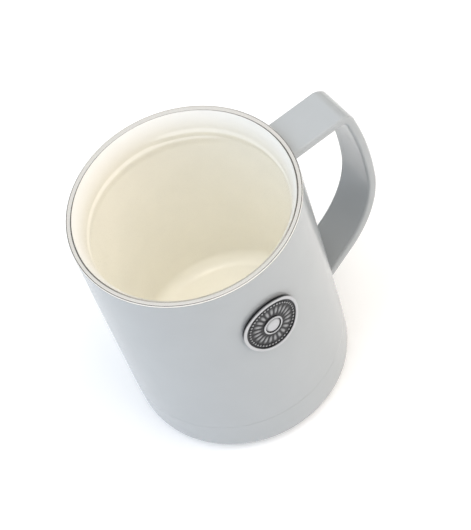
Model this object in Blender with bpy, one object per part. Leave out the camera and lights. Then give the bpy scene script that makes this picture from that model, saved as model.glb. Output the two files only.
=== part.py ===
"""A double-wall travel mug with a strap handle, as separate solids in their assembled places.

Units are metres and +Z is up. The mug's axis is the Z axis and it rests on z = 0.
The handle points along +X and the medallion sits on the -Y side.
"""

from math import asin, atan2, cos, degrees, pi, radians, sin, sqrt

import bmesh
import bpy
from mathutils import Vector

MM = 0.001

# Clearances
FIT_GAP = 0.25 * MM
BOND_GAP = 0.15 * MM

# Body
BODY_RADIUS = 43.0 * MM
BODY_HEIGHT = 107.0 * MM
SHELL_WALL = 0.6 * MM
LINER_WALL = 0.6 * MM

# Lip
LIP_WIDTH = 2.4 * MM
LIP_SKIRT = 1.6 * MM
LIP_ROUND = 0.8 * MM

# Cup interior
FLARE_WIDTH = 2.3 * MM
FLARE_DEPTH = 8.8 * MM
LINER_DRAFT = 1.1 * MM
FLOOR_HEIGHT = 14.3 * MM
FLOOR_ROUND = 5.4 * MM

# Thread rolled into the liner's neck, which a lid screws into
THREAD_DROP = 7.5 * MM
THREAD_PITCH = 4.0 * MM
THREAD_HEIGHT = 1.1 * MM
THREAD_WIDTH = 3.0 * MM
THREAD_UPPER_END = radians(75.0)
THREAD_TURN = radians(415.0)
THREAD_RUN_OUT = radians(20.0)

# Foil round the liner
FOIL_THICKNESS = 0.2 * MM
FOIL_END_MARGIN = 6.0 * MM

# Base cup
SEAM_HEIGHT = 18.5 * MM
SEAM_LAP = 4.0 * MM
BASE_DRAFT = 0.4 * MM
BASE_ROUND = 5.0 * MM
BASE_WALL = 0.6 * MM
FOOT_LIFT = 0.6 * MM
FOOT_RING_WIDTH = 4.5 * MM
DIMPLE_RADIUS = 6.0 * MM
DIMPLE_HEIGHT = 1.5 * MM
EVACUATION_HOLE_RADIUS = 1.2 * MM

# Layers under the base
PAD_THICKNESS = 1.6 * MM
PAD_CHAMFER = 0.4 * MM
TAPE_THICKNESS = 0.3 * MM
TAPE_MARGIN = 1.0 * MM
COVER_THICKNESS = 0.6 * MM

# Vacuum seal and getter
BEAD_RADIUS = 2.8 * MM
BEAD_HEIGHT = 1.1 * MM
GETTER_OFFSET = 18.0 * MM
GETTER_RADIUS = 4.0 * MM
GETTER_THICKNESS = 1.8 * MM
CLIP_SHEET = 0.4 * MM
CLIP_WIDTH = 5.0 * MM
CLIP_FOOT = 3.0 * MM

# Handle
HANDLE_DROP = 4.4 * MM
ARM_LENGTH = 20.3 * MM
CORNER_RADIUS = 6.4 * MM
CORNER_TURN = radians(78.0)
FRONT_TURN = radians(15.0)
HEEL_RADIUS = 41.8 * MM
HEEL_TURN = radians(52.0)
LOWER_ROOT_HEIGHT = 20.2 * MM
STRAP_WIDTH = 17.0 * MM
STRAP_THICKNESS = 3.6 * MM
STRAP_SHEET = 0.8 * MM
STRAP_EDGE_ROUND = 0.4 * MM
TONGUE_LENGTH = 9.0 * MM

# Medallion
MEDALLION_WIDTH = 23.4 * MM
MEDALLION_HEIGHT = 26.8 * MM
MEDALLION_DROP = 30.6 * MM
MEDALLION_THICKNESS = 1.1 * MM
MEDALLION_RELIEF = 0.35 * MM
MEDALLION_RIM_WIDTH = 1.4 * MM
MEDALLION_RIM_CHAMFER = 0.45 * MM
MEDALLION_BOSS_RADIUS = 3.6 * MM
MEDALLION_BOSS_SLOPE = 1.1 * MM
MEDALLION_BOSS_CROWN = 0.2 * MM

# Mesh fineness
SEGMENTS = 60
SMALL_SEGMENTS = 32
ROUND_STEPS = 4
BEND_FACET = radians(6.0)
FEWEST_BEND_FACETS = 5
PLATE_RINGS = 4
THREAD_RING = 0.75 * MM
MERGE_DISTANCE = 0.001 * MM
SHARP_ANGLE = radians(35.0)

# Sizes that follow from the ones above
MOUTH_RADIUS = BODY_RADIUS - LIP_WIDTH
NECK_RADIUS = MOUTH_RADIUS - FLARE_WIDTH
LOWER_BORE_RADIUS = NECK_RADIUS - LINER_DRAFT
WALL_TOP = BODY_HEIGHT - LIP_SKIRT - FIT_GAP
FLARE_BOTTOM = BODY_HEIGHT - FLARE_DEPTH
FLARE_RADIUS = (FLARE_WIDTH ** 2 + FLARE_DEPTH ** 2) / (2 * FLARE_WIDTH)
FLARE_SLOPE = asin(FLARE_DEPTH / FLARE_RADIUS)
THREAD_TOP = BODY_HEIGHT - THREAD_DROP + THREAD_WIDTH / 2
THREAD_BOTTOM = THREAD_TOP - THREAD_WIDTH - THREAD_PITCH * THREAD_TURN / (2 * pi)
TAPE_BOTTOM = PAD_THICKNESS + BOND_GAP
COVER_BOTTOM = TAPE_BOTTOM + TAPE_THICKNESS + BOND_GAP
RECESS_CEILING = COVER_BOTTOM + COVER_THICKNESS + FIT_GAP
BASE_DECK = RECESS_CEILING + BASE_WALL
BASE_FLANK_RADIUS = BODY_RADIUS - BASE_DRAFT
RECESS_RADIUS = BASE_FLANK_RADIUS - BASE_ROUND - FOOT_RING_WIDTH
HANDLE_TOP = BODY_HEIGHT - HANDLE_DROP
HANDLE_EMBED = STRAP_WIDTH / 2
MEDALLION_CENTRE_HEIGHT = BODY_HEIGHT - MEDALLION_DROP


def clear_scene():
    """Remove every object so that the model starts from nothing."""
    for item in list(bpy.data.objects):
        bpy.data.objects.remove(item, do_unlink=True)


def make_material(name, colour, roughness, metallic=0.0):
    """A Principled material with one colour."""
    material = bpy.data.materials.new(name)
    material.use_nodes = True
    shader = material.node_tree.nodes["Principled BSDF"]
    shader.inputs["Base Color"].default_value = (*colour, 1.0)
    shader.inputs["Roughness"].default_value = roughness
    shader.inputs["Metallic"].default_value = metallic
    return material


def add_solid(name, bm, material, parent, location=(0.0, 0.0, 0.0)):
    """Turn a closed bmesh into a smooth-shaded object under the parent."""
    bmesh.ops.recalc_face_normals(bm, faces=bm.faces)
    mesh = bpy.data.meshes.new(name)
    bm.to_mesh(mesh)
    bm.free()
    mesh.shade_smooth()
    mesh.set_sharp_from_angle(angle=SHARP_ANGLE)
    mesh.materials.append(material)
    solid = bpy.data.objects.new(name, mesh)
    solid.location = location
    solid.parent = parent
    bpy.context.scene.collection.objects.link(solid)
    return solid


def arc(centre, radius, start, end, steps=ROUND_STEPS):
    """Points along an arc in the profile plane, angles in degrees, both ends included."""
    angles = [radians(start + (end - start) * step / steps) for step in range(steps + 1)]
    return [(centre[0] + radius * cos(angle), centre[1] + radius * sin(angle)) for angle in angles]


def turned(profile, closed, segments=SEGMENTS):
    """A solid of revolution about Z from (radius, height) points.

    A closed profile makes a ring; an open one runs from the axis to the axis.
    """
    bm = bmesh.new()
    verts = [bm.verts.new((radius, 0.0, height)) for radius, height in profile]
    edges = [bm.edges.new(pair) for pair in zip(verts, verts[1:])]
    if closed:
        edges.append(bm.edges.new((verts[-1], verts[0])))
    bmesh.ops.spin(
        bm, geom=verts + edges, cent=(0, 0, 0), axis=(0, 0, 1),
        angle=2 * pi, steps=segments, use_merge=True,
    )
    bmesh.ops.remove_doubles(bm, verts=bm.verts, dist=MERGE_DISTANCE)
    return bm


def inward(heading):
    """Direction from the strap's outer face towards the mug, in the XZ plane."""
    return Vector((-sin(heading), 0.0, -cos(heading)))


def along(heading):
    """Direction in which the strap runs; a heading of 0 is +X and it turns down."""
    return Vector((cos(heading), 0.0, -sin(heading)))


def after_bend(place, heading, radius, turn):
    """Where the outer face is after a bend about a centre on its inward side."""
    return place + radius * (inward(heading) - inward(heading + turn))


def swept(outline, place, heading, legs):
    """A strap swept from (across, depth) points along runs and bends.

    Each leg is (length, 0) for a straight run or (radius, turn) for a bend, measured on
    the outer face. Depth grows from that face towards the mug.
    """
    bm = bmesh.new()
    corners = [place + Vector((0.0, across, 0.0)) + depth * inward(heading) for across, depth in outline]
    end = [bm.faces.new([bm.verts.new(corner) for corner in corners])]
    for size, turn in legs:
        geom = end + list(end[0].edges) + list(end[0].verts)
        if turn:
            made = bmesh.ops.spin(
                bm, geom=geom, cent=place + size * inward(heading), axis=(0, 1, 0),
                angle=turn, steps=bend_steps(turn),
            )["geom_last"]
            place = after_bend(place, heading, size, turn)
            heading += turn
        else:
            made = bmesh.ops.extrude_face_region(bm, geom=geom)["geom"]
            moved = [item for item in made if isinstance(item, bmesh.types.BMVert)]
            bmesh.ops.translate(bm, verts=moved, vec=size * along(heading))
            place = place + size * along(heading)
        end = [item for item in made if isinstance(item, bmesh.types.BMFace)]
    return bm


def bend_steps(turn):
    """How many facets a bend is made of."""
    return max(FEWEST_BEND_FACETS, round(turn / BEND_FACET))


def wrap_on_body(bm, width, height, base_radius):
    """Stretch a unit disc to an oval and bend it round the body at -Y."""
    for vert in bm.verts:
        angle = vert.co.x * width / 2 / base_radius
        radius = base_radius + vert.co.z
        rise = vert.co.y * height / 2
        vert.co = (radius * sin(angle), -radius * cos(angle), MEDALLION_CENTRE_HEIGHT + rise)


def cut_to_body(solid, cutter):
    """Shape a piece's end to the outside of the body."""
    cut = solid.modifiers.new("fit to body", "BOOLEAN")
    cut.operation = "DIFFERENCE"
    cut.solver = "EXACT"
    cut.object = cutter


def build_shells(parent):
    """Outer tube, coated liner, polished lip and the foil between the walls."""
    coat = make_material("body coat", (0.60, 0.64, 0.66), 0.45)
    cream = make_material("liner coat", (0.86, 0.80, 0.62), 0.35)
    steel = make_material("polished steel", (0.62, 0.61, 0.59), 0.2, 1.0)
    copper = make_material("foil", (0.80, 0.47, 0.33), 0.3, 1.0)

    shell_inside = BODY_RADIUS - SHELL_WALL
    tube = [
        (BODY_RADIUS, WALL_TOP), (BODY_RADIUS, SEAM_HEIGHT),
        (shell_inside, SEAM_HEIGHT), (shell_inside, WALL_TOP),
    ]
    add_solid("outer_shell", turned(tube, True), coat, parent)

    lip_bottom = BODY_HEIGHT - LIP_SKIRT
    lip = [(mouth_radius(lip_bottom), lip_bottom), (BODY_RADIUS, lip_bottom)]
    round_height = BODY_HEIGHT - LIP_ROUND
    inner_round = MOUTH_RADIUS + LIP_ROUND * (1 - sin(FLARE_SLOPE)) / cos(FLARE_SLOPE)
    lip += arc((BODY_RADIUS - LIP_ROUND, round_height), LIP_ROUND, 0, 90)
    lip += arc((inner_round, round_height), LIP_ROUND, 90, 180 - degrees(FLARE_SLOPE))
    add_solid("lip_ring", turned(lip, True), steel, parent)

    cup = liner_side(0.0)
    outside = liner_side(LINER_WALL)
    liner = turned(cup + outside[::-1], False)
    roll_thread(liner)
    add_solid("inner_liner", liner, cream, parent)

    foil_bottom = FLOOR_HEIGHT + FOIL_END_MARGIN
    foil_top = THREAD_BOTTOM - FOIL_END_MARGIN
    foil_inside = NECK_RADIUS + LINER_WALL + FIT_GAP
    foil_outside = foil_inside + FOIL_THICKNESS
    foil = [
        (foil_outside, foil_top), (foil_outside - LINER_DRAFT, foil_bottom),
        (foil_inside - LINER_DRAFT, foil_bottom), (foil_inside, foil_top),
    ]
    add_solid("liner_foil", turned(foil, True), copper, parent)


def mouth_radius(height):
    """Inside radius of the neck, which is straight below the flare and bends outwards above."""
    rise = max(0.0, height - FLARE_BOTTOM)
    return NECK_RADIUS + FLARE_RADIUS - sqrt(FLARE_RADIUS ** 2 - rise ** 2)


def steps_between(low, high, count):
    """Evenly spaced heights from low to high, both included."""
    return [low + (high - low) * step / count for step in range(count + 1)]


def liner_side(offset):
    """One face of the liner from its floor to its top edge, offset outwards by the sheet."""
    bore = LOWER_BORE_RADIUS + offset
    floor = FLOOR_HEIGHT - offset
    floor_round = FLOOR_ROUND + offset
    points = [(0.0, floor)]
    points += arc((bore - floor_round, floor + floor_round), floor_round, -90, 0)
    heights = steps_between(THREAD_BOTTOM, THREAD_TOP, round((THREAD_TOP - THREAD_BOTTOM) / THREAD_RING))
    heights += steps_between(THREAD_TOP, WALL_TOP, ROUND_STEPS)[1:]
    points += [(mouth_radius(height) + offset, height) for height in heights]
    return points


def thread_depth(angle, height):
    """How far the thread stands in from the neck at an angle about the axis and a height.

    The ridge is followed back from its upper end, once for each turn that passes the angle.
    """
    depth = 0.0
    passed = (THREAD_UPPER_END - angle) % (2 * pi)
    while passed < THREAD_TURN:
        crest = BODY_HEIGHT - THREAD_DROP - THREAD_PITCH * passed / (2 * pi)
        off_crest = abs(height - crest) / (THREAD_WIDTH / 2)
        if off_crest < 1.0:
            full = min(1.0, passed / THREAD_RUN_OUT, (THREAD_TURN - passed) / THREAD_RUN_OUT)
            depth = max(depth, THREAD_HEIGHT * full * (1 + cos(pi * off_crest)) / 2)
        passed += 2 * pi
    return depth


def roll_thread(bm):
    """Press the thread into both faces of the liner's neck."""
    for vert in bm.verts:
        radius = vert.co.xy.length
        if THREAD_BOTTOM < vert.co.z < THREAD_TOP:
            share = 1.0 - thread_depth(atan2(vert.co.y, vert.co.x), vert.co.z) / radius
            vert.co.x *= share
            vert.co.y *= share


def build_base(parent):
    """Base cup, cover, pad and the bonding film under them."""
    coat = make_material("base coat", (0.60, 0.64, 0.66), 0.45)
    steel = make_material("pressed steel", (0.55, 0.55, 0.54), 0.4, 1.0)
    silicone = make_material("pad silicone", (0.55, 0.57, 0.58), 0.7)
    adhesive = make_material("pad adhesive", (0.75, 0.73, 0.65), 0.5)

    outside = base_side(0.0)
    inside = base_side(BASE_WALL)
    add_solid("base_cup", turned(outside + inside[::-1], True), coat, parent)

    seat_radius = RECESS_RADIUS - FIT_GAP
    cover_top = COVER_BOTTOM + COVER_THICKNESS
    cover = [(0.0, COVER_BOTTOM), (seat_radius, COVER_BOTTOM), (seat_radius, cover_top), (0.0, cover_top)]
    add_solid("base_cover", turned(cover, False), steel, parent)

    film_radius = seat_radius - TAPE_MARGIN
    film_top = TAPE_BOTTOM + TAPE_THICKNESS
    film = [(0.0, TAPE_BOTTOM), (film_radius, TAPE_BOTTOM), (film_radius, film_top), (0.0, film_top)]
    add_solid("pad_adhesive", turned(film, False), adhesive, parent)

    pad = [
        (0.0, 0.0), (seat_radius - PAD_CHAMFER, 0.0), (seat_radius, PAD_CHAMFER),
        (seat_radius, PAD_THICKNESS), (0.0, PAD_THICKNESS),
    ]
    add_solid("base_pad", turned(pad, False), silicone, parent)


def base_side(offset):
    """One face of the base cup's sheet, from its top edge to the evacuation hole."""
    lap = BODY_RADIUS - SHELL_WALL - FIT_GAP - offset
    seam = SEAM_HEIGHT - FIT_GAP - offset
    flank = BASE_FLANK_RADIUS - offset
    foot = FOOT_LIFT + offset
    foot_round = BASE_ROUND - offset
    deck = RECESS_CEILING + offset
    recess = RECESS_RADIUS + offset
    dimple = DIMPLE_RADIUS + offset
    points = [(lap, SEAM_HEIGHT + SEAM_LAP), (lap, seam), (BODY_RADIUS - offset, seam)]
    points += arc((flank - foot_round, foot + foot_round), foot_round, 0, -90)
    points += [(recess, foot), (recess, deck), (dimple, deck)]
    points += [(dimple, deck + DIMPLE_HEIGHT), (EVACUATION_HOLE_RADIUS, deck + DIMPLE_HEIGHT)]
    return points


def build_vacuum_parts(parent):
    """Glass seal under the evacuation hole, and the getter with its clip on the base deck."""
    glass = make_material("seal glass", (0.42, 0.48, 0.44), 0.15)
    getter = make_material("getter", (0.16, 0.16, 0.17), 0.8)
    spring = make_material("clip steel", (0.58, 0.57, 0.55), 0.35, 1.0)

    bead_top = RECESS_CEILING + DIMPLE_HEIGHT - BOND_GAP
    drop = [(BEAD_RADIUS * cos(angle), bead_top - BEAD_HEIGHT * sin(angle))
            for angle in (pi / 2 * step / ROUND_STEPS for step in range(ROUND_STEPS))]
    bead = [(0.0, bead_top)] + drop + [(0.0, bead_top - BEAD_HEIGHT)]
    add_solid("vacuum_seal_bead", turned(bead, False, SMALL_SEGMENTS), glass, parent)

    pellet = [(0.0, 0.0), (GETTER_RADIUS, 0.0), (GETTER_RADIUS, GETTER_THICKNESS), (0.0, GETTER_THICKNESS)]
    seat = (0.0, GETTER_OFFSET, BASE_DECK + BOND_GAP)
    add_solid("getter_pellet", turned(pellet, False, SMALL_SEGMENTS), getter, parent, seat)

    inner = GETTER_RADIUS + FIT_GAP
    outer = inner + CLIP_SHEET
    reach = outer + CLIP_FOOT
    under = GETTER_THICKNESS + BOND_GAP
    over = under + CLIP_SHEET
    right = [(reach, 0.0), (reach, CLIP_SHEET), (outer, CLIP_SHEET), (outer, over)]
    right_inside = [(inner, under), (inner, 0.0)]
    left = [(-x, z) for x, z in right[::-1]]
    left_inside = [(-x, z) for x, z in right_inside[::-1]]
    outline = right + left + left_inside + right_inside
    bm = bmesh.new()
    face = bm.faces.new([bm.verts.new((x, -CLIP_WIDTH / 2, z)) for x, z in outline])
    made = bmesh.ops.extrude_face_region(bm, geom=[face])["geom"]
    moved = [item for item in made if isinstance(item, bmesh.types.BMVert)]
    bmesh.ops.translate(bm, verts=moved, vec=(0.0, CLIP_WIDTH, 0.0))
    add_solid("getter_clip", bm, spring, parent, seat)


def build_handle(parent):
    """Pressed outer channel, inner plate, and the tongue that holds each end to the shell."""
    coat = make_material("handle coat", (0.60, 0.64, 0.66), 0.45)
    plate_coat = make_material("handle plate coat", (0.56, 0.60, 0.62), 0.5)
    steel = make_material("tongue steel", (0.55, 0.55, 0.54), 0.4, 1.0)

    cutter_bm = turned([
        (0.0, -BODY_HEIGHT), (BODY_RADIUS + FIT_GAP, -BODY_HEIGHT),
        (BODY_RADIUS + FIT_GAP, 2 * BODY_HEIGHT), (0.0, 2 * BODY_HEIGHT),
    ], False)
    cutter = add_solid("body_clearance", cutter_bm, coat, parent)
    cutter.hide_render = True
    cutter.display_type = "WIRE"

    upper_root = Vector((BODY_RADIUS, 0.0, HANDLE_TOP))
    lower_root = Vector((BODY_RADIUS, 0.0, LOWER_ROOT_HEIGHT))
    front_heading = CORNER_TURN
    heel_heading = front_heading + FRONT_TURN
    leg_heading = heel_heading + HEEL_TURN

    # The front's radius and the leg's length are those that bring the strap to the lower root
    corner_start = upper_root + ARM_LENGTH * along(0.0)
    front_start = after_bend(corner_start, 0.0, CORNER_RADIUS, CORNER_TURN)
    heel_shift = after_bend(Vector(), heel_heading, HEEL_RADIUS, HEEL_TURN)
    missing = lower_root - front_start - heel_shift
    front_step = after_bend(Vector(), front_heading, 1.0, FRONT_TURN)
    leg_step = along(leg_heading)
    determinant = front_step.x * leg_step.z - front_step.z * leg_step.x
    front_radius = (missing.x * leg_step.z - missing.z * leg_step.x) / determinant
    leg_length = (front_step.x * missing.z - front_step.z * missing.x) / determinant

    start = upper_root - HANDLE_EMBED * along(0.0)
    path = [
        (HANDLE_EMBED + ARM_LENGTH, 0), (CORNER_RADIUS, CORNER_TURN), (front_radius, FRONT_TURN),
        (HEEL_RADIUS, HEEL_TURN), (leg_length + HANDLE_EMBED, 0),
    ]
    half = STRAP_WIDTH / 2
    mouth = half - STRAP_SHEET
    edge = half - STRAP_EDGE_ROUND
    channel = [(-mouth, STRAP_SHEET), (-mouth, STRAP_THICKNESS), (-half, STRAP_THICKNESS)]
    channel += arc((-edge, STRAP_EDGE_ROUND), STRAP_EDGE_ROUND, 180, 270)
    channel += arc((edge, STRAP_EDGE_ROUND), STRAP_EDGE_ROUND, 270, 360)
    channel += [(half, STRAP_THICKNESS), (mouth, STRAP_THICKNESS), (mouth, STRAP_SHEET)]
    channel_solid = add_solid("handle_channel", swept(channel, start, 0.0, path), coat, parent)
    cut_to_body(channel_solid, cutter)

    fit = mouth - FIT_GAP
    plate = strip_outline(fit, STRAP_THICKNESS - STRAP_SHEET, STRAP_THICKNESS)
    plate_solid = add_solid("handle_plate", swept(plate, start, 0.0, path), plate_coat, parent)
    cut_to_body(plate_solid, cutter)

    tongue = strip_outline(fit, STRAP_SHEET + FIT_GAP, STRAP_THICKNESS - STRAP_SHEET - FIT_GAP)
    tongue_run = [(HANDLE_EMBED + TONGUE_LENGTH, 0)]
    upper = add_solid("upper_tongue", swept(tongue, start, 0.0, tongue_run), steel, parent)
    cut_to_body(upper, cutter)
    lower_start = lower_root - TONGUE_LENGTH * leg_step
    lower = add_solid("lower_tongue", swept(tongue, lower_start, leg_heading, tongue_run), steel, parent)
    cut_to_body(lower, cutter)


def strip_outline(half_width, near, far):
    """A flat strip between two depths under the strap's outer face."""
    return [(-half_width, near), (-half_width, far), (half_width, far), (half_width, near)]


def build_medallion(parent):
    """Oval cast medallion and the tape that holds it to the shell."""
    pewter = make_material("medallion metal", (0.22, 0.22, 0.23), 0.35, 1.0)
    foam = make_material("medallion tape", (0.05, 0.05, 0.05), 0.8)

    rings = [step / PLATE_RINGS for step in range(PLATE_RINGS)]
    half_width = MEDALLION_WIDTH / 2
    tape_share = 1.0 - TAPE_MARGIN / half_width
    tape = [(tape_share * ring, 0.0) for ring in rings]
    tape += [(tape_share, 0.0), (tape_share, TAPE_THICKNESS)]
    tape += [(tape_share * ring, TAPE_THICKNESS) for ring in rings[::-1]]
    tape_bm = turned(tape, False, SMALL_SEGMENTS)
    wrap_on_body(tape_bm, MEDALLION_WIDTH, MEDALLION_HEIGHT, BODY_RADIUS + BOND_GAP)
    add_solid("medallion_tape", tape_bm, foam, parent)

    field = MEDALLION_THICKNESS - MEDALLION_RELIEF
    crest_share = 1.0 - MEDALLION_RIM_CHAMFER / half_width
    rim_share = 1.0 - MEDALLION_RIM_WIDTH / half_width
    boss_share = MEDALLION_BOSS_RADIUS / half_width
    shoulder_share = (MEDALLION_BOSS_RADIUS - MEDALLION_BOSS_SLOPE) / half_width
    plate = [(ring, 0.0) for ring in rings]
    plate += [(1.0, 0.0), (1.0, field), (crest_share, MEDALLION_THICKNESS)]
    plate += [(rim_share, MEDALLION_THICKNESS), (rim_share, field)]
    plate += [((rim_share + boss_share) / 2, field), (boss_share, field)]
    plate += [(shoulder_share, MEDALLION_THICKNESS), (0.0, MEDALLION_THICKNESS + MEDALLION_BOSS_CROWN)]
    plate_bm = turned(plate, False, SMALL_SEGMENTS)
    plate_base = BODY_RADIUS + BOND_GAP + TAPE_THICKNESS + BOND_GAP
    wrap_on_body(plate_bm, MEDALLION_WIDTH, MEDALLION_HEIGHT, plate_base)
    add_solid("medallion_plate", plate_bm, pewter, parent)


def main():
    """Build the mug piece by piece under one empty."""
    clear_scene()
    mug = bpy.data.objects.new("travel_mug", None)
    bpy.context.scene.collection.objects.link(mug)
    build_shells(mug)
    build_base(mug)
    build_vacuum_parts(mug)
    build_handle(mug)
    build_medallion(mug)


main()
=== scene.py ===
"""Looks of an open double-wall travel mug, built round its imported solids.

Units are metres. The mug's axis is Z, it rests on z = 0, its handle points along +X and its
medallion faces -Y. Every finished piece keeps its place in its mesh.
"""

import logging
from collections.abc import Sequence
from dataclasses import dataclass
from enum import Enum
from functools import cache
from math import asin, atan2, cos, pi, radians, sin, sqrt, tan

import bmesh
import bpy
from mathutils import Matrix, Vector


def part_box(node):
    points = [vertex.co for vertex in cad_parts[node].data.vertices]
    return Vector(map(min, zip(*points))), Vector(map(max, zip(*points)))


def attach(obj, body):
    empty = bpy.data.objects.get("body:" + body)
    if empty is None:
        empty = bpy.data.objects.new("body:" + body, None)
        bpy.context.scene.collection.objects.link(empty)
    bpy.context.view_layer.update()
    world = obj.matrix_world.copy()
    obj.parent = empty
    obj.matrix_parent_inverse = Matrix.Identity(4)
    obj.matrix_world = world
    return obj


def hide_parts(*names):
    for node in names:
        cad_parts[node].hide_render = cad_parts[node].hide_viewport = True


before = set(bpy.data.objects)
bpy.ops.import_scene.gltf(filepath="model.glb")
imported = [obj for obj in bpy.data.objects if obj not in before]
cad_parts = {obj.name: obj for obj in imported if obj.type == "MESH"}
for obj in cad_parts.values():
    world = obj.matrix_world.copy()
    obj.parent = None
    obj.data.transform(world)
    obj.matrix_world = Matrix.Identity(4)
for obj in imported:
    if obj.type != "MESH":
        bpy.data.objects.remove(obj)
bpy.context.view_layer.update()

LOG = logging.getLogger("travel_mug")
BODY = "root"
MM = 0.001
ROUND_SEGMENTS = 192
CORNER_STEPS = 8
SHARP_ANGLE = radians(40.0)
MERGE_DISTANCE = 0.0005 * MM
# Nearly all values of a noise lie between these two.
NOISE_LOW = 0.3
NOISE_HIGH = 0.7
# Turns an outline from the XZ plane to the YZ plane.
ACROSS = Matrix.Rotation(pi / 2, 3, "Z")

BMesh = bmesh.types.BMesh
Socket = bpy.types.NodeSocket
Colour = tuple[float, float, float]
Stops = Sequence[tuple[float, Colour]]


class Slot(Enum):
    """Names of the record's material slots, one for each of the new pieces' finishes."""

    BODY_COAT = "body_coat"
    LINER_COAT = "liner_coat"
    LIP_STEEL = "polished_steel"
    PAD = "pad_silicone"
    MEDALLION = "medallion_metal"


class Root(Enum):
    """The two ends of the handle's strap."""

    UPPER = "upper"
    LOWER = "lower"


def set_stops(ramp: bpy.types.ColorRamp, stops: Stops) -> None:
    """Give a new colour ramp its stops.

    Args:
        ramp: The ramp, which starts with two stops.
        stops: Positions and their colours, in order.
    """
    while len(ramp.elements) < len(stops):
        ramp.elements.new(1.0)
    for element, (position, colour) in zip(ramp.elements, stops):
        element.position = position
        element.color = (*colour, 1.0)


class NodeGraph:
    """A Principled material that is put together from small steps on Object coordinates."""

    def __init__(self, name: str) -> None:
        """Start a material that has a bare shader.

        Args:
            name: The material's name.
        """
        self.material = bpy.data.materials.new(name)
        self.material.use_nodes = True
        self.nodes = self.material.node_tree.nodes
        self.links = self.material.node_tree.links
        self.shader = self.nodes["Principled BSDF"]
        self.place = self.nodes.new("ShaderNodeTexCoord").outputs["Object"]

    def put(self, **values: float) -> None:
        """Set sockets of the shader that are the same all over; _ stands for a space."""
        for name, value in values.items():
            self.shader.inputs[name.replace("_", " ")].default_value = value

    def feed(self, name: str, source: Socket) -> None:
        """Link a varying value to a socket of the shader."""
        self.links.new(source, self.shader.inputs[name])

    def noise(self, grain: float, detail: float = 2.0, along: Socket | None = None) -> Socket:
        """Add a noise.

        Args:
            grain: Size of its blobs in metres.
            detail: How many finer layers it has.
            along: A distance in metres for a noise of one dimension, or None for three.

        Returns:
            The noise's value.
        """
        node = self.nodes.new("ShaderNodeTexNoise")
        node.inputs["Scale"].default_value = 1.0 / grain
        node.inputs["Detail"].default_value = detail
        if along is None:
            self.links.new(self.place, node.inputs["Vector"])
        else:
            node.noise_dimensions = "1D"
            self.links.new(along, node.inputs["W"])
        return node.outputs["Fac"]

    def axis_distance(self) -> Socket:
        """Add the distance from the mug's axis.

        Returns:
            The distance in metres.
        """
        flat = self.nodes.new("ShaderNodeVectorMath")
        flat.operation = "MULTIPLY"
        flat.inputs[1].default_value = (1.0, 1.0, 0.0)
        self.links.new(self.place, flat.inputs[0])
        length = self.nodes.new("ShaderNodeVectorMath")
        length.operation = "LENGTH"
        self.links.new(flat.outputs[0], length.inputs[0])
        return length.outputs["Value"]

    def height(self) -> Socket:
        """Add the height above the plane that the mug rests on.

        Returns:
            The height in metres.
        """
        split = self.nodes.new("ShaderNodeSeparateXYZ")
        self.links.new(self.place, split.inputs["Vector"])
        return split.outputs["Z"]

    def span(self, source: Socket, start: float, end: float, low: float, high: float) -> Socket:
        """Map one range of a value to another, held at both ends.

        Args:
            source: The value.
            start: Where its range starts.
            end: Where its range ends.
            low: What the start becomes.
            high: What the end becomes.

        Returns:
            The mapped value.
        """
        node = self.nodes.new("ShaderNodeMapRange")
        ends = {"From Min": start, "From Max": end, "To Min": low, "To Max": high}
        for name, value in ends.items():
            node.inputs[name].default_value = value
        self.links.new(source, node.inputs["Value"])
        return node.outputs["Result"]

    def tint(self, source: Socket, stops: Stops) -> Socket:
        """Colour a value.

        Args:
            source: The value, from 0 to 1.
            stops: Positions along it and their colours, in order.

        Returns:
            The colour.
        """
        node = self.nodes.new("ShaderNodeValToRGB")
        set_stops(node.color_ramp, stops)
        self.links.new(source, node.inputs["Fac"])
        return node.outputs["Color"]

    def blend(self, share: Socket, near: Socket, far: Colour) -> Socket:
        """Go from one colour to another.

        Args:
            share: How far to go, from 0 to 1.
            near: The colour at 0.
            far: The colour at 1.

        Returns:
            The mixed colour.
        """
        node = self.nodes.new("ShaderNodeMix")
        node.data_type = "RGBA"
        self.links.new(share, node.inputs["Factor"])
        first, second = (socket for socket in node.inputs if socket.type == "RGBA")
        self.links.new(near, first)
        second.default_value = (*far, 1.0)
        return next(socket for socket in node.outputs if socket.type == "RGBA")

    def bump(self, source: Socket, depth: float, over: Socket | None = None) -> Socket:
        """Raise a surface by a value.

        Args:
            source: The value.
            depth: How far a value of 1 raises the surface, in metres.
            over: A bump that lies under this one, or None.

        Returns:
            The bumped normal.
        """
        node = self.nodes.new("ShaderNodeBump")
        node.inputs["Distance"].default_value = depth
        self.links.new(source, node.inputs["Height"])
        if over is not None:
            self.links.new(over, node.inputs["Normal"])
        return node.outputs["Normal"]


def shaded(colour: Colour, share: float) -> Colour:
    """Make a colour lighter or darker by a share of itself."""
    return tuple(channel * share for channel in colour)


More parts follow.
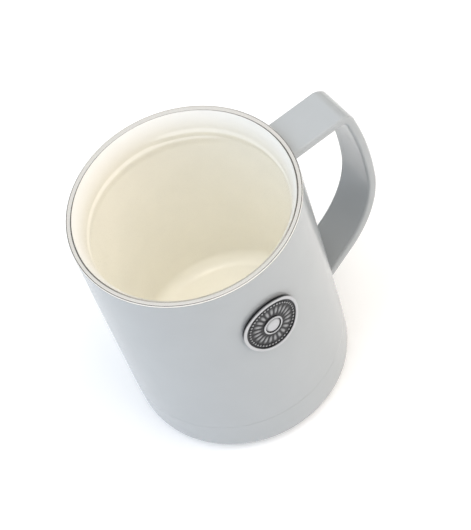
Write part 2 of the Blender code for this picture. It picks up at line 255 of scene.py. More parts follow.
@dataclass(frozen=True)
class BakedCoat:
    """A coating baked on steel: fine peel, faint clouds, a satin sheen and, where set, painted light
    that pales it towards the rim.
    """

    name: str
    colour: Colour
    roughness: float
    peel: float
    peel_depth: float
    grain: float
    grain_depth: float
    cloud: float = 14.0 * MM
    cloud_low: float = 0.35
    cloud_high: float = 0.65
    variation: float = 0.012
    roughness_spread: float = 0.04
    # Painted light: between these two heights the coat pales to this colour, standing in for the
    # brighter light at the mouth.
    rim_painted_light: Colour | None = None
    rim_painted_start: float = 0.0
    rim_painted_end: float = 0.0

    @cache
    def material(self) -> bpy.types.Material:
        """Make the coat's node material once.

        Returns:
            The material.
        """
        graph = NodeGraph(self.name)
        clouds = graph.noise(self.cloud, detail=3.0)
        dull = shaded(self.colour, 1.0 - self.variation)
        clear = shaded(self.colour, 1.0 + self.variation)
        colour = graph.tint(clouds, [(self.cloud_low, dull), (self.cloud_high, clear)])
        # Painted light: paler towards the rim, where the mouth is lit brighter.
        if self.rim_painted_light:
            share = graph.span(graph.height(), self.rim_painted_start, self.rim_painted_end, 0.0, 1.0)
            colour = graph.blend(share, colour, self.rim_painted_light)
        graph.feed("Base Color", colour)
        peel = graph.noise(self.peel, detail=1.0)
        grain = graph.noise(self.grain)
        low = self.roughness - self.roughness_spread
        high = self.roughness + self.roughness_spread
        graph.feed("Roughness", graph.span(grain, NOISE_LOW, NOISE_HIGH, low, high))
        waves = graph.bump(peel, self.peel_depth)
        graph.feed("Normal", graph.bump(grain, self.grain_depth, waves))
        return graph.material


@dataclass(frozen=True)
class TurnedSteel:
    """Bare steel with fine lines round the mug's axis and faint smudges."""

    name: str
    colour: Colour
    roughness: float
    line: float
    line_depth: float
    line_shade: float = 0.93
    smudge: float = 6.0 * MM
    smooth_share: float = 0.85
    rough_share: float = 1.2

    @cache
    def material(self) -> bpy.types.Material:
        """Make the steel's node material once.

        Returns:
            The material.
        """
        graph = NodeGraph(self.name)
        lines = graph.noise(self.line, detail=3.0, along=graph.axis_distance())
        smudges = graph.noise(self.smudge)
        dark = shaded(self.colour, self.line_shade)
        graph.feed("Base Color", graph.tint(lines, [(NOISE_LOW, dark), (NOISE_HIGH, self.colour)]))
        low = self.roughness * self.smooth_share
        high = self.roughness * self.rough_share
        graph.feed("Roughness", graph.span(smudges, NOISE_LOW, NOISE_HIGH, low, high))
        graph.feed("Normal", graph.bump(lines, self.line_depth))
        graph.put(Metallic=1.0)
        return graph.material


@dataclass(frozen=True)
class CastPewter:
    """Cast metal whose hollows are darkened and whose high lines are rubbed bright."""

    name: str
    hollow: Colour
    middle: Colour
    crest: Colour
    floor_radius: float
    crest_radius: float
    roughness: float
    hollow_stop: float = 0.1
    middle_stop: float = 0.5
    crest_stop: float = 0.95
    grain: float = 0.35 * MM
    grain_depth: float = 0.012 * MM
    smooth_share: float = 0.8
    rough_share: float = 1.3

    @cache
    def material(self) -> bpy.types.Material:
        """Make the metal's node material once.

        Returns:
            The material.
        """
        graph = NodeGraph(self.name)
        relief = graph.span(graph.axis_distance(), self.floor_radius, self.crest_radius, 0.0, 1.0)
        tones = [
            (self.hollow_stop, self.hollow),
            (self.middle_stop, self.middle),
            (self.crest_stop, self.crest),
        ]
        graph.feed("Base Color", graph.tint(relief, tones))
        grain = graph.noise(self.grain, detail=3.0)
        low = self.roughness * self.smooth_share
        high = self.roughness * self.rough_share
        graph.feed("Roughness", graph.span(grain, NOISE_LOW, NOISE_HIGH, low, high))
        graph.feed("Normal", graph.bump(grain, self.grain_depth))
        graph.put(Metallic=1.0)
        return graph.material


@dataclass(frozen=True)
class GrainyStuff:
    """A plain stuff with blotches and a grain, such as rubber, film, sheet or sintered metal."""

    name: str
    colour: Colour
    roughness: float
    grain: float
    grain_depth: float
    metallic: float = 0.0
    variation: float = 0.08
    glow: float = 0.0
    smooth_share: float = 0.85
    rough_share: float = 1.15

    @cache
    def material(self) -> bpy.types.Material:
        """Make the node material once.

        Returns:
            The material.
        """
        graph = NodeGraph(self.name)
        grain = graph.noise(self.grain, detail=3.0)
        dark = shaded(self.colour, 1.0 - self.variation)
        light = shaded(self.colour, 1.0 + self.variation)
        graph.feed("Base Color", graph.tint(grain, [(NOISE_LOW, dark), (NOISE_HIGH, light)]))
        low = self.roughness * self.smooth_share
        high = self.roughness * self.rough_share
        graph.feed("Roughness", graph.span(grain, NOISE_LOW, NOISE_HIGH, low, high))
        graph.feed("Normal", graph.bump(grain, self.grain_depth))
        graph.put(Metallic=self.metallic, Emission_Strength=self.glow)
        return graph.material


Finish = BakedCoat | TurnedSteel | CastPewter | GrainyStuff

MIST_COAT = BakedCoat(
    "mist powder coat", (0.440, 0.462, 0.476), roughness=0.20,
    peel=0.9 * MM, peel_depth=0.004 * MM, grain=0.14 * MM, grain_depth=0.002 * MM,
)
CREAM_COAT = BakedCoat(
    "cream liner coat and painted rim light", (0.945, 0.92, 0.835), roughness=0.30,
    peel=1.6 * MM, peel_depth=0.004 * MM, grain=0.2 * MM, grain_depth=0.001 * MM,
    # Painted light: the coat pales from 97 mm up to the rim, standing in for the brighter light at the
    # mouth.
    rim_painted_light=(0.94, 0.93, 0.895), rim_painted_start=97.0 * MM, rim_painted_end=105.5 * MM,
)
LIP_STEEL = TurnedSteel(
    "turned lip steel", (0.85, 0.83, 0.79), roughness=0.20,
    line=0.12 * MM, line_depth=0.002 * MM,
)
PAD_RUBBER = GrainyStuff(
    "foot pad silicone", (0.42, 0.44, 0.45), roughness=0.7,
    grain=0.5 * MM, grain_depth=0.02 * MM,
)


@dataclass(frozen=True)
class Corner:
    """One corner of an outline: its place and the radius that rounds it."""

    across: float
    height: float
    radius: float = 0.0


def draw_outline(bm: BMesh, corners: list[Corner], closed: bool) -> list[bmesh.types.BMEdge]:
    """Draw an outline of straight edges in the XZ plane and round its corners.

    Args:
        bm: The mesh to draw in.
        corners: The outline's corners in order.
        closed: Whether the last corner joins the first.

    Returns:
        The outline's edges.
    """
    before = set(bm.edges)
    verts = [bm.verts.new((corner.across, 0.0, corner.height)) for corner in corners]
    for pair in zip(verts, verts[1:]):
        bm.edges.new(pair)
    if closed:
        bm.edges.new((verts[-1], verts[0]))
    for corner, vert in zip(corners, verts):
        if corner.radius:
            behind, ahead = (edge.other_vert(vert).co - vert.co for edge in vert.link_edges)
            setback = corner.radius / tan(ahead.angle(behind) / 2)
            bmesh.ops.bevel(
                bm, geom=[vert], offset=setback, offset_type="OFFSET", segments=CORNER_STEPS,
                profile=0.5, affect="VERTICES", material=-1,
            )
    return [edge for edge in bm.edges if edge not in before]


def turned(corners: list[Corner], closed: bool, segments: int = ROUND_SEGMENTS) -> BMesh:
    """Turn an outline about Z.

    Args:
        corners: Corners as (radius, height); an open outline runs from the axis to the axis.
        closed: Whether the outline is a ring's section.
        segments: How many facets go round.

    Returns:
        A closed mesh with its faces outwards.
    """
    bm = bmesh.new()
    draw_outline(bm, corners, closed)
    bmesh.ops.spin(
        bm, geom=bm.verts[:] + bm.edges[:], cent=(0, 0, 0), axis=(0, 0, 1),
        angle=2 * pi, steps=segments, use_merge=True,
    )
    bmesh.ops.remove_doubles(bm, verts=bm.verts, dist=MERGE_DISTANCE)
    bmesh.ops.recalc_face_normals(bm, faces=bm.faces)
    # A thin cup can come out of that with its faces inwards.
    if bm.calc_volume(signed=True) < 0.0:
        bmesh.ops.reverse_faces(bm, faces=bm.faces)
    return bm


class SubAssembly:
    """Pieces that are made together and ride on the mug's one body."""

    def fit(self, name: str, bm: BMesh, finish: Finish, slot: Slot, *nodes: str) -> None:
        """Turn a mesh into a finished piece on the mug.

        Args:
            name: The piece's name.
            bm: Its mesh, which is freed.
            finish: What it is covered with.
            slot: The record's slot of that finish; not used.
            nodes: Solids that the piece stands for.
        """
        mesh = bpy.data.meshes.new(name)
        bm.to_mesh(mesh)
        bm.free()
        mesh.shade_smooth()
        mesh.set_sharp_from_angle(angle=SHARP_ANGLE)
        mesh.materials.append(finish.material())
        piece = bpy.data.objects.new(name, mesh)
        bpy.context.scene.collection.objects.link(piece)
        weighted = piece.modifiers.new("flat faces lead", "WEIGHTED_NORMAL")
        weighted.keep_sharp = True
        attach(piece, BODY)
        if nodes:
            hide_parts(*nodes)
        LOG.info("%s: %d faces, %s", name, len(mesh.polygons), finish.name)


@dataclass(frozen=True)
class Thread:
    """A rounded thread that winds down the liner's neck and fades out at both ends."""

    drop: float = 8.8 * MM
    pitch: float = 3.45 * MM
    depth: float = 0.6 * MM
    upper_width: float = 2.2 * MM
    lower_width: float = 4.4 * MM
    upper_end: float = radians(82.0)
    turn: float = radians(415.0)
    run_out: float = radians(20.0)

    def reach(self) -> float:
        """Work out how far below the rim the thread's lowest edge lies."""
        return self.drop + self.lower_width + self.pitch * self.turn / (2 * pi)

    def height_at(self, angle: float, below: float) -> float:
        """Find how far the thread stands in from the neck.

        Args:
            angle: Direction from the mug's axis.
            below: Distance below the rim.

        Returns:
            The thread's height there, or 0 beside it.
        """
        stands = 0.0
        passed = (self.upper_end - angle) % (2 * pi)
        while passed < self.turn:
            under = below - self.drop - self.pitch * passed / (2 * pi)
            off_crest = max(under / self.lower_width, -under / self.upper_width)
            if off_crest < 1.0:
                fade = min(1.0, passed / self.run_out, (self.turn - passed) / self.run_out)
                soft_fade = (1 - cos(pi * fade)) / 2
                stands = max(stands, self.depth * soft_fade * (1 + cos(pi * off_crest)) / 2)
            passed += 2 * pi
        return stands


@dataclass
class Body(SubAssembly):
    """Outer shell, base cup, cream liner and bare lip, all turned about the mug's axis."""

    radius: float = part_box("outer_shell")[1].x
    height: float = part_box("lip_ring")[1].z
    wall_top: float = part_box("outer_shell")[1].z
    seam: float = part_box("outer_shell")[0].z
    lap_top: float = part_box("base_cup")[1].z
    foot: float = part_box("base_cup")[0].z
    lip_bottom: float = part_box("lip_ring")[0].z
    sheet: float = 0.6 * MM
    seam_gap: float = 0.01 * MM
    seam_round: float = 0.5 * MM
    edge_round: float = 0.1 * MM
    base_draft: float = 0.4 * MM
    base_round: float = 5.0 * MM
    recess_radius: float = 33.1 * MM
    recess_ceiling: float = 3.05 * MM
    recess_round: float = 0.5 * MM
    dimple_radius: float = 6.0 * MM
    dimple_height: float = 1.5 * MM
    hole_radius: float = 1.2 * MM
    lap_gap: float = 0.25 * MM
    coat_rise: float = 0.6 * MM
    lip_width: float = 1.85 * MM
    lip_round: float = 1.0 * MM
    outer_round: float = 0.65 * MM
    flare_width: float = 3.3 * MM
    flare_depth: float = 8.8 * MM
    liner_draft: float = 0.65 * MM
    floor: float = 14.3 * MM
    floor_round: float = 5.4 * MM
    thread: Thread = Thread()
    thread_ring: float = 0.15 * MM
    back_ring: float = 1.5 * MM
    coat_edge: float = radians(60.0)
    coat_film: float = 0.06 * MM
    film_gap: float = 0.02 * MM

    def build(self) -> None:
        """Make the four turned pieces."""
        self.build_shell()
        self.build_base()
        self.build_liner()
        self.build_lip()

    def build_shell(self) -> None:
        """Make the straight outer tube, its top edge softened by the coat."""
        inside = self.radius - self.sheet
        top = self.wall_top + self.coat_rise
        tube = [
            Corner(self.radius, top, self.edge_round),
            Corner(self.radius, self.seam),
            Corner(inside, self.seam),
            Corner(inside, top),
        ]
        shell = turned(tube, closed=True)
        self.fit("coated_shell", shell, MIST_COAT, Slot.BODY_COAT, "outer_shell")

    def base_face(self, offset: float) -> list[Corner]:
        """Draw one face of the base cup's sheet, from its lap to the hole under the deck.

        Args:
            offset: How far the face lies inside the outer one.

        Returns:
            The face's corners.
        """
        lap = self.radius - self.sheet - self.lap_gap - offset
        top = self.seam - self.seam_gap - offset
        foot = self.foot + offset
        recess = self.recess_radius + offset
        deck = self.recess_ceiling + offset
        dimple = self.dimple_radius + offset
        return [
            Corner(lap, self.lap_top),
            Corner(lap, top),
            Corner(self.radius - offset, top, self.seam_round),
            Corner(self.radius - self.base_draft - offset, foot, self.base_round - offset),
            Corner(recess, foot, self.recess_round),
            Corner(recess, deck),
            Corner(dimple, deck),
            Corner(dimple, deck + self.dimple_height),
            Corner(self.hole_radius, deck + self.dimple_height),
        ]

    def build_base(self) -> None:
        """Make the drawn base cup with its soft bottom edge."""
        section = self.base_face(0.0) + self.base_face(self.sheet)[::-1]
        base = turned(section, closed=True)
        self.fit("coated_base", base, MIST_COAT, Slot.BODY_COAT, "base_cup")

    def flare_bend(self) -> float:
        """Work out the radius of the bend that opens the neck to the mouth."""
        return (self.flare_width ** 2 + self.flare_depth ** 2) / (2 * self.flare_width)

    def neck_radius(self, height: float) -> float:
        """Work out the inside radius of the neck, which bends outwards in the flare.

        Args:
            height: Height above the plane that the mug rests on.

        Returns:
            The radius there.
        """
        bend = self.flare_bend()
        rise = max(0.0, height - self.height + self.flare_depth)
        neck = self.radius - self.lip_width - self.flare_width
        return neck + bend - sqrt(bend ** 2 - rise ** 2)

    def coat_lap(self, depth: float) -> list[Corner]:
        """Draw the coat's lap over the lip's inner rounding, upwards.

        Args:
            depth: How far under the coat's face the lap is drawn.

        Returns:
            The lap's corners.
        """
        slope = asin(self.flare_depth / self.flare_bend())
        centre = self.radius - self.lip_width + self.lip_round * (1 - sin(slope)) / cos(slope)
        reach = self.lip_round - depth
        lap = []
        for step in range(CORNER_STEPS + 1):
            lean = pi / 2 - slope + (self.coat_edge - pi / 2 + slope) * step / CORNER_STEPS
            height = self.height - self.lip_round + reach * cos(lean)
            lap.append(Corner(centre - reach * sin(lean), height))
        return lap

    def liner_face(self, offset: float, top: float, ring: float) -> list[Corner]:
        """Draw one face of the liner's sheet, from the middle of its floor to its top edge.

        Args:
            offset: How far the face lies outside the inner one.
            top: Height of its top edge.
            ring: About how high each ring of the neck is.

        Returns:
            The face's corners.
        """
        bore = self.neck_radius(self.floor) - self.liner_draft + offset
        floor = self.floor - offset
        face = [Corner(0.0, floor), Corner(bore, floor, self.floor_round + offset)]
        low = self.height - self.thread.reach()
        rings = round((top - low) / ring)
        for index in range(rings + 1):
            height = low + (top - low) * index / rings
            face.append(Corner(self.neck_radius(height) + offset, height))
        return face

    def build_liner(self) -> None:
        """Make the coated liner with its flared, threaded mouth; the coat laps up inside the lip."""
        lap = self.coat_lap(0.0)
        inside = self.liner_face(0.0, lap[0].height, self.thread_ring)[:-1]
        outside = self.liner_face(self.sheet, self.wall_top, self.back_ring)
        film = self.coat_lap(self.coat_film)[::-1]
        film.append(Corner(self.neck_radius(self.wall_top) + self.coat_film, self.wall_top))
        liner = turned(inside + lap + film + outside[::-1], closed=False)
        self.roll_thread(liner)
        self.fit("coated_liner", liner, CREAM_COAT, Slot.LINER_COAT, "inner_liner")

    def roll_thread(self, bm: BMesh) -> None:
        """Raise the thread on the neck's inner face.

        Args:
            bm: The liner's mesh.
        """
        for vert in bm.verts:
            radius = vert.co.xy.length
            above = vert.co.z > self.height - self.thread.reach()
            if above and radius < self.neck_radius(vert.co.z) + self.sheet / 2:
                angle = atan2(vert.co.y, vert.co.x)
                stands = self.thread.height_at(angle, self.height - vert.co.z)
                vert.co.xy *= 1.0 - stands / radius

    def build_lip(self) -> None:
        """Make the bare lip, rounded outside and where it meets the flare."""
        behind_film = self.coat_film + self.film_gap
        bottom = self.lip_bottom + self.coat_rise
        foot = self.neck_radius(bottom) + behind_film
        section = [
            Corner(foot, bottom),
            Corner(self.radius, bottom),
            Corner(self.radius, self.height, self.outer_round),
            Corner(self.radius - self.lip_width + behind_film, self.height, self.lip_round),
        ]
        lip = turned(section, closed=True)
        self.fit("bare_lip", lip, LIP_STEEL, Slot.LIP_STEEL, "lip_ring")


@dataclass
class Foot(SubAssembly):
    """Silicone pad let into the base."""

    radius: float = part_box("base_pad")[1].x
    thickness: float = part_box("base_pad")[1].z
    edge_round: float = 0.4 * MM
    grooves: int = 4
    first_groove: float = 8.0 * MM
    groove_pitch: float = 6.0 * MM
    groove_width: float = 1.2 * MM
    groove_depth: float = 0.4 * MM
    groove_round: float = 0.15 * MM

    def build(self) -> None:
        """Make the pad with rings of grooves in its underside."""
        section = [Corner(0.0, 0.0)]
        for index in range(self.grooves):
            near = self.first_groove + index * self.groove_pitch
            far = near + self.groove_width
            section += [Corner(near, 0.0, self.groove_round), Corner(near, self.groove_depth)]
            section += [Corner(far, self.groove_depth), Corner(far, 0.0, self.groove_round)]
        section += [Corner(self.radius, 0.0, self.edge_round), Corner(self.radius, self.thickness)]
        section.append(Corner(0.0, self.thickness))
        pad = turned(section, closed=False)
        self.fit("ringed_pad", pad, PAD_RUBBER, Slot.PAD, "base_pad")


@dataclass
class Handle(SubAssembly):
    """Pressed strap channel, the plate let into its inner side, and a coated fillet at each root.

    A heading is the direction in which the strap runs: 0 is +X, and it turns down.
    """

    body_radius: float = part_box("outer_shell")[1].x
    top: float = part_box("handle_channel")[1].z
    widening: float = 0.38 * MM
    half_width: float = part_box("handle_channel")[1].y + widening
    arm_length: float = 20.3 * MM
    corner_radius: float = 6.4 * MM
    corner_turn: float = radians(78.0)
    front_turn: float = radians(15.0)
    heel_radius: float = 41.8 * MM
    heel_turn: float = radians(52.0)
    lower_root: float = 20.2 * MM
    thickness: float = 3.6 * MM
    sheet: float = 0.8 * MM
    hem: float = 1.1 * MM
    edge_round: float = 1.1 * MM
    lip_round: float = 1.0 * MM
    plate_gap: float = 0.08 * MM
    plate_rise: float = 0.06 * MM
    plate_round: float = 0.12 * MM
    landing: float = 3.0 * MM
    seat_gap: float = 0.02 * MM
    fillet: float = 0.4 * MM
    fillet_sink: float = 0.08 * MM
    fillet_steps: int = 5
    facet: float = radians(2.0)

    def inward(self, heading: float) -> Vector:
        """Give the direction from the strap's outer face towards the mug."""
        return Vector((-sin(heading), 0.0, -cos(heading)))

    def along(self, heading: float) -> Vector:
        """Give the direction in which the strap runs."""
        return Vector((cos(heading), 0.0, -sin(heading)))

    def bent(self, heading: float, radius: float, turn: float) -> Vector:
        """Work out how far a bend carries the strap's outer face."""
        return radius * (self.inward(heading) - self.inward(heading + turn))

    def legs(self) -> list[tuple[float, float]]:
        """Work out the strap's runs and bends from the upper root to the lower one.

        The radius of the front and the length of the last run make the path end at its root.

        Returns:
            (length, 0) for a straight run and (radius, turn) for a bend, on the outer face.
        """
        front = self.corner_turn
        heel = front + self.front_turn
        leg = heel + self.heel_turn
        start = Vector((self.body_radius, 0.0, self.top)) + self.arm_length * self.along(0.0)
        corner_step = self.bent(0.0, self.corner_radius, self.corner_turn)
        heel_step = self.bent(heel, self.heel_radius, self.heel_turn)
        known = corner_step + heel_step
        missing = Vector((self.body_radius, 0.0, self.lower_root)) - start - known
        front_step = self.bent(front, 1.0, self.front_turn)
        leg_step = self.along(leg)
        spread = front_step.x * leg_step.z - front_step.z * leg_step.x
        front_radius = (missing.x * leg_step.z - missing.z * leg_step.x) / spread
        leg_length = (front_step.x * missing.z - front_step.z * missing.x) / spread
        return [
            (self.arm_length - self.landing, 0.0),
            (self.corner_radius, self.corner_turn),
            (front_radius, self.front_turn),
            (self.heel_radius, self.heel_turn),
            (leg_length - self.landing, 0.0),
        ]

    def slide(self, verts: list[bmesh.types.BMVert], heading: float, radius: float) -> None:
        """Slide points along the strap until they lie on a cylinder about the mug's axis.

        Args:
            verts: The points.
            heading: The strap's heading there.
            radius: The cylinder's radius.
        """
        step = self.along(heading)
        for vert in verts:
            reach = sqrt(radius ** 2 - vert.co.y ** 2)
            vert.co += step * ((reach - vert.co.x) / step.x)

    def sweep(self, corners: list[Corner]) -> BMesh:
        """Sweep an outline from root to root and shape its ends to the body.

        Args:
            corners: Corners as (across, -depth), depth growing from the outer face to the mug.

        Returns:
            A closed mesh with its faces outwards.
        """
        bm = bmesh.new()
        edges = draw_outline(bm, corners, closed=True)
        end = bmesh.ops.edgeloop_fill(bm, edges=edges)["faces"]
        bmesh.ops.rotate(bm, verts=bm.verts, cent=(0, 0, 0), matrix=ACROSS)
        place = Vector((self.body_radius + self.landing, 0.0, self.top))
        bmesh.ops.translate(bm, verts=bm.verts, vec=place)
        first = list(end[0].verts)
        heading = 0.0
        for size, turn in self.legs():
            geom = list(end) + list(end[0].edges) + list(end[0].verts)
            if turn:
                centre = place + size * self.inward(heading)
                steps = max(CORNER_STEPS, round(turn / self.facet))
                bend = bmesh.ops.spin(
                    bm, geom=geom, cent=centre, axis=(0, 1, 0), angle=turn, steps=steps,
                )
                made = bend["geom_last"]
                place = place + self.bent(heading, size, turn)
                heading += turn
            else:
                made = bmesh.ops.extrude_face_region(bm, geom=geom)["geom"]
                moved = [item for item in made if isinstance(item, bmesh.types.BMVert)]
                bmesh.ops.translate(bm, verts=moved, vec=size * self.along(heading))
                place = place + size * self.along(heading)
            end = [item for item in made if isinstance(item, bmesh.types.BMFace)]
        self.slide(first, 0.0, self.body_radius + self.seat_gap)
        self.slide(list(end[0].verts), heading, self.body_radius + self.seat_gap)
        bmesh.ops.recalc_face_normals(bm, faces=bm.faces)
        return bm

    def build(self) -> None:
        """Make the channel, the plate and the fillets."""
        half = self.half_width
        mouth = half - self.hem
        channel = [
            Corner(-mouth, -self.sheet),
            Corner(-mouth, -self.thickness),
            Corner(-half, -self.thickness, self.lip_round),
            Corner(-half, 0.0, self.edge_round),
            Corner(half, 0.0, self.edge_round),
            Corner(half, -self.thickness, self.lip_round),
            Corner(mouth, -self.thickness),
            Corner(mouth, -self.sheet),
        ]
        self.fit("coated_channel", self.sweep(channel), MIST_COAT, Slot.BODY_COAT, "handle_channel")
        side = mouth - self.plate_gap
        face = -self.thickness - self.plate_rise
        plate = [
            Corner(-side, face + self.sheet),
            Corner(-side, face, self.plate_round),
            Corner(side, face, self.plate_round),
            Corner(side, face + self.sheet),
        ]
        self.fit("coated_plate", self.sweep(plate), MIST_COAT, Slot.BODY_COAT, "handle_plate")
        for root in Root:
            ring = self.root_fillet(root)
            self.fit(f"{root.value}_root_fillet", ring, MIST_COAT, Slot.BODY_COAT)

    def root_fillet(self, root: Root) -> BMesh:
        """Make the coated fillet round one end of the strap.

        Args:
            root: Which end it is.

        Returns:
            A closed ring with a hollow face.
        """
        heading = 0.0
        place = Vector((self.body_radius + self.landing, 0.0, self.top))
        if root is Root.LOWER:
            heading = self.corner_turn + self.front_turn + self.heel_turn
            foot = Vector((self.body_radius, 0.0, self.lower_root))
            place = foot - self.landing * self.along(heading)
        angles = [pi / 2 * step / self.fillet_steps for step in range(self.fillet_steps + 1)]
        section = [(self.fillet * (1 - sin(angle)), self.fillet * (1 - cos(angle))) for angle in angles]
        section += [(-self.fillet_sink, self.fillet), (-self.fillet_sink, 0.0)]
        bm = bmesh.new()
        loops = []
        for grow, rise in section:
            half = self.half_width + grow
            depth = self.thickness + grow
            corners = [
                Corner(-half, grow, self.edge_round + grow),
                Corner(half, grow, self.edge_round + grow),
                Corner(half, -depth, self.lip_round + grow),
                Corner(-half, -depth, self.lip_round + grow),
            ]
            edges = draw_outline(bm, corners, closed=True)
            verts = list({vert for edge in edges for vert in edge.verts})
            bmesh.ops.rotate(bm, verts=verts, cent=(0, 0, 0), matrix=ACROSS)
            tilt = Matrix.Rotation(heading, 3, "Y")
            bmesh.ops.rotate(bm, verts=verts, cent=(0, 0, 0), matrix=tilt)
            bmesh.ops.translate(bm, verts=verts, vec=place)
            self.slide(verts, heading, self.body_radius + self.seat_gap + rise)
            loops.append(edges)
        for near, far in zip(loops, loops[1:] + loops[:1]):
            bmesh.ops.bridge_loops(bm, edges=near + far)
        bmesh.ops.recalc_face_normals(bm, faces=bm.faces)
        return bm


@dataclass
class Medallion(SubAssembly):
    """Oval cast plate with a raised rim, a ring of beads, flutes and a plain domed boss."""

    half_width: float = 11.7 * MM
    half_height: float = 13.4 * MM
    centre_height: float = 76.4 * MM
    seat_radius: float = 43.6 * MM
    thickness: float = 1.1 * MM
    field: float = 0.62 * MM
    rim_width: float = 1.3 * MM
    rim_round: float = 0.3 * MM
    bead_share: float = 0.79
    bead_radius: float = 0.42 * MM
    beads: int = 44
    bead_facets: int = 12
    bead_rings: int = 8
    flutes: int = 22
    flute_depth: float = 0.3 * MM
    flute_inner: float = 0.40
    flute_outer: float = 0.72
    field_rings: int = 8
    boss_radius: float = 3.9 * MM
    boss_ring: float = 0.7 * MM
    boss_crown: float = 0.3 * MM
    facets_per_flute: int = 10
    hollow: Colour = (0.045, 0.045, 0.047)
    middle: Colour = (0.30, 0.30, 0.305)
    crest: Colour = (0.52, 0.52, 0.53)
    roughness: float = 0.34

    def finish(self) -> CastPewter:
        """Choose the metal, with its tones set by the relief's own height.

        Returns:
            The finish.
        """
        return CastPewter(
            "cast pewter", self.hollow, self.middle, self.crest,
            floor_radius=self.seat_radius + self.field,
            crest_radius=self.seat_radius + self.thickness,
            roughness=self.roughness,
        )

    def wrap(self, bm: BMesh) -> None:
        """Stretch a round relief to the oval and bend it round the shell.

        Args:
            bm: The relief, flat and centred on the origin, with its face up.
        """
        for vert in bm.verts:
            angle = vert.co.x / self.seat_radius
            reach = self.seat_radius + vert.co.z
            rise = vert.co.y * self.half_height / self.half_width
            vert.co = (reach * sin(angle), -reach * cos(angle), self.centre_height + rise)

    def build(self) -> None:
        """Make the fluted plate and its beads."""
        self.fit("fluted_medallion", self.plate(), self.finish(), Slot.MEDALLION, "medallion_plate")
        self.fit("medallion_beads", self.bead_ring(), self.finish(), Slot.MEDALLION)

    def plate(self) -> BMesh:
        """Make the plate's relief, turned and then fluted.

        Returns:
            A closed mesh on the shell.
        """
        edge = self.half_width
        rim = edge - self.rim_width
        ring = self.boss_radius - self.boss_ring
        span = rim - self.boss_radius
        crown = self.thickness + self.boss_crown
        section = [
            Corner(0.0, 0.0),
            Corner(edge, 0.0),
            Corner(edge, self.thickness, self.rim_round),
            Corner(rim, self.thickness, self.rim_round),
            Corner(rim, self.field),
        ]
        for step in range(1, self.field_rings):
            section.append(Corner(rim - span * step / self.field_rings, self.field))
        section += [
            Corner(self.boss_radius, self.field),
            Corner(self.boss_radius, self.thickness, self.rim_round),
            Corner(ring, self.thickness, self.rim_round / 2),
            Corner(ring, self.field),
            Corner(ring / 2, crown, ring),
            Corner(0.0, crown),
        ]
        bm = turned(section, closed=False, segments=self.flutes * self.facets_per_flute)
        for vert in bm.verts:
            share = vert.co.xy.length / edge
            if self.flute_inner < share < self.flute_outer and vert.co.z > self.field / 2:
                swell = sin(pi * (share - self.flute_inner) / (self.flute_outer - self.flute_inner))
                turn = Vector((1.0, 0.0)).angle_signed(vert.co.xy)
                vert.co.z += self.flute_depth * swell * (1 + cos(self.flutes * turn)) / 2
        self.wrap(bm)
        return bm

    def bead_ring(self) -> BMesh:
        """Make the beads that stand on the field inside the rim.

        Returns:
            A mesh of closed beads on the shell.
        """
        bm = bmesh.new()
        path = self.bead_share * self.half_width
        for index in range(self.beads):
            turn = 2 * pi * index / self.beads
            place = Matrix.Translation((path * cos(turn), path * sin(turn), self.field))
            bmesh.ops.create_uvsphere(
                bm, u_segments=self.bead_facets, v_segments=self.bead_rings,
                radius=self.bead_radius, matrix=place,
            )
        self.wrap(bm)
        return bm


@dataclass
class HiddenParts:
    """Solids kept as they are, each with a finish of its own stuff."""

    foil: Finish = GrainyStuff(
        "copper foil", (0.80, 0.47, 0.33), roughness=0.3,
        grain=2.5 * MM, grain_depth=0.05 * MM, metallic=1.0,
    )
    steel: Finish = GrainyStuff(
        "pressed steel", (0.55, 0.55, 0.54), roughness=0.4,
        grain=0.3 * MM, grain_depth=0.004 * MM, metallic=1.0,
    )
    sinter: Finish = GrainyStuff(
        "sintered getter", (0.16, 0.16, 0.17), roughness=0.8,
        grain=0.25 * MM, grain_depth=0.03 * MM, metallic=0.6, variation=0.2,
    )
    glass: Finish = GrainyStuff(
        "fused sealing glass", (0.42, 0.48, 0.44), roughness=0.12,
        grain=1.2 * MM, grain_depth=0.01 * MM,
    )
    film: Finish = GrainyStuff(
        "bonding film", (0.75, 0.73, 0.65), roughness=0.5,
        grain=1.5 * MM, grain_depth=0.01 * MM,
    )
    foam: Finish = GrainyStuff(
        "black foam tape", (0.05, 0.05, 0.05), roughness=0.85,
        grain=0.2 * MM, grain_depth=0.03 * MM,
    )

    def dress(self) -> None:
        """Give each kept solid its finish."""
        finishes = {
            "liner_foil": self.foil,
            "base_cover": self.steel,
            "upper_tongue": self.steel,
            "lower_tongue": self.steel,
            "getter_clip": self.steel,
            "getter_pellet": self.sinter,
            "vacuum_seal_bead": self.glass,
            "pad_adhesive": self.film,
            "medallion_tape": self.foam,
        }
        for node, finish in finishes.items():
            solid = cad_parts[node]
            for slot in solid.material_slots:
                slot.material = finish.material()
            LOG.info("%s: %s", node, finish.name)


@dataclass(frozen=True)
class SoftBox:
    """A square studio light that points at the mug from above on one side.

    Bare metal mirrors only a light that is marked as mirrored.
    """

    name: str
    azimuth: float
    power: float
    colour: Colour
    elevation: float = radians(45.0)
    distance: float = 1.5
    size: float = 2.0
    mirrored: bool = False

    def hang(self, aim: Vector) -> None:
        """Hang the light and turn it to the mug.

        Args:
            aim: The point that it faces.
        """
        light = bpy.data.lights.new(self.name, "AREA")
        light.size = self.size
        light.energy = self.power
        light.color = self.colour
        level = cos(self.elevation)
        side = Vector((level * cos(self.azimuth), level * sin(self.azimuth), sin(self.elevation)))
        lamp = bpy.data.objects.new(self.name, light)
        lamp.location = aim + self.distance * side
        lamp.rotation_euler = (-side).to_track_quat("-Z", "Y").to_euler()
        lamp.visible_glossy = self.mirrored
        bpy.context.scene.collection.objects.link(lamp)


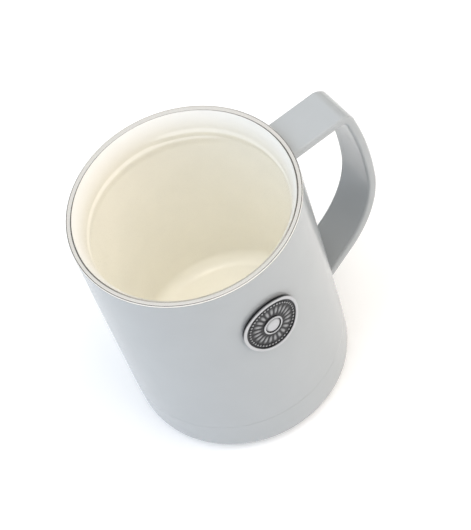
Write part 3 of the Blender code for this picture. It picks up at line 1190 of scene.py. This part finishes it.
@dataclass(frozen=True)
class CupLight:
    """A narrow light over the mouth that reaches only the inside of the liner."""

    name: str = "cup light"
    height: float = 1.3
    power: float = 10.3
    colour: Colour = (1.0, 0.94, 0.83)
    spread: float = radians(3.475)
    soft_edge: float = 0.05
    size: float = 1.0 * MM

    def hang(self) -> None:
        """Hang the light on the mug's axis."""
        light = bpy.data.lights.new(self.name, "SPOT")
        light.energy = self.power
        light.color = self.colour
        light.spot_size = self.spread
        light.spot_blend = self.soft_edge
        light.shadow_soft_size = self.size
        lamp = bpy.data.objects.new(self.name, light)
        lamp.location = (0.0, 0.0, self.height)
        bpy.context.scene.collection.objects.link(lamp)


@dataclass
class Studio:
    """Pale floor, soft light all round and the camera."""

    floor_radius: float = 6.0
    floor_facets: int = 96
    floor_finish: Finish = GrainyStuff(
        "pale floor", (0.93, 0.93, 0.93), roughness=0.6,
        grain=300 * MM, grain_depth=0.0, variation=0.004, glow=0.14,
    )
    horizon: Colour = (0.10, 0.10, 0.10)
    overhead: Colour = (0.95, 0.95, 0.95)
    horizon_end: float = 0.56
    overhead_start: float = 0.66
    focal_pixels: float = 1901.0
    long_side_pixels: float = 530.0
    sensor: float = 36.0
    azimuth: float = radians(-19.12)
    elevation: float = radians(54.873)
    roll: float = radians(-20.826)
    distance: float = 714.3 * MM
    slide_right: float = 7.69 * MM
    slide_up: float = 6.62 * MM
    aim_height: float = 53.52 * MM
    boxes: tuple[SoftBox, ...] = (
        SoftBox("left box", azimuth=radians(180.0), power=15.2, colour=(0.74, 0.85, 1.0)),
        SoftBox("right box", azimuth=radians(0.0), power=1.8, colour=(0.8, 1.0, 0.92)),
        SoftBox("front right box", azimuth=radians(315.0), power=16.5, colour=(1.0, 0.876, 0.755)),
        SoftBox(
            "near box", azimuth=radians(270.0), power=0.9, colour=(1.0, 0.97, 0.93),
            elevation=radians(15.0), size=1.0, mirrored=True,
        ),
        SoftBox(
            "far box", azimuth=radians(72.0), power=1.6, colour=(1.0, 0.95, 0.88),
            elevation=radians(15.0), size=1.0, mirrored=True,
        ),
    )
    cup_light: CupLight = CupLight()

    def build(self) -> None:
        """Set up the floor, the lights and the camera."""
        self.lay_floor()
        self.light_room()
        self.set_camera()

    def lay_floor(self) -> None:
        """Lay a wide plain disc under the mug."""
        bm = bmesh.new()
        bmesh.ops.create_circle(bm, cap_ends=True, segments=self.floor_facets, radius=self.floor_radius)
        mesh = bpy.data.meshes.new("floor")
        bm.to_mesh(mesh)
        bm.free()
        mesh.materials.append(self.floor_finish.material())
        floor = bpy.data.objects.new("floor", mesh)
        bpy.context.scene.collection.objects.link(floor)

    def light_room(self) -> None:
        """Light the whole room softly, brighter overhead, and hang the lights."""
        world = bpy.data.worlds.new("studio room")
        world.use_nodes = True
        nodes = world.node_tree.nodes
        links = world.node_tree.links
        direction = nodes.new("ShaderNodeTexCoord").outputs["Generated"]
        split = nodes.new("ShaderNodeSeparateXYZ")
        ramp = nodes.new("ShaderNodeValToRGB")
        sky = [(self.horizon_end, self.horizon), (self.overhead_start, self.overhead)]
        set_stops(ramp.color_ramp, sky)
        links.new(direction, split.inputs["Vector"])
        links.new(split.outputs["Z"], ramp.inputs["Fac"])
        links.new(ramp.outputs["Color"], nodes["Background"].inputs["Color"])
        bpy.context.scene.world = world
        bpy.context.scene.view_settings.view_transform = "Standard"
        aim = Vector((0.0, 0.0, self.aim_height))
        for box in self.boxes:
            box.hang(aim)
        self.cup_light.hang()

    def set_camera(self) -> None:
        """Look at the mug as the photograph does."""
        away = cos(self.elevation)
        back = Vector((sin(self.azimuth) * away, -cos(self.azimuth) * away, sin(self.elevation)))
        level = Vector((cos(self.azimuth), sin(self.azimuth), 0.0))
        tilt = back.cross(level)
        right = cos(self.roll) * level + sin(self.roll) * tilt
        up = cos(self.roll) * tilt - sin(self.roll) * level
        place = Vector((0.0, 0.0, self.aim_height)) + self.distance * back
        place += self.slide_right * right + self.slide_up * up
        lens = bpy.data.cameras.new("camera")
        lens.sensor_width = self.sensor
        lens.lens = self.focal_pixels * self.sensor / self.long_side_pixels
        camera = bpy.data.objects.new("camera", lens)
        turn = Matrix((right, up, back)).transposed()
        camera.matrix_world = Matrix.Translation(place) @ turn.to_4x4()
        bpy.context.scene.collection.objects.link(camera)
        bpy.context.scene.camera = camera


def main() -> None:
    """Build the mug's pieces in order, then the studio round it."""
    logging.basicConfig(level=logging.INFO, format="%(name)s: %(message)s")
    for assembly in (Body(), Foot(), Handle(), Medallion()):
        assembly.build()
    HiddenParts().dress()
    Studio().build()


if __name__ == "__main__":
    main()
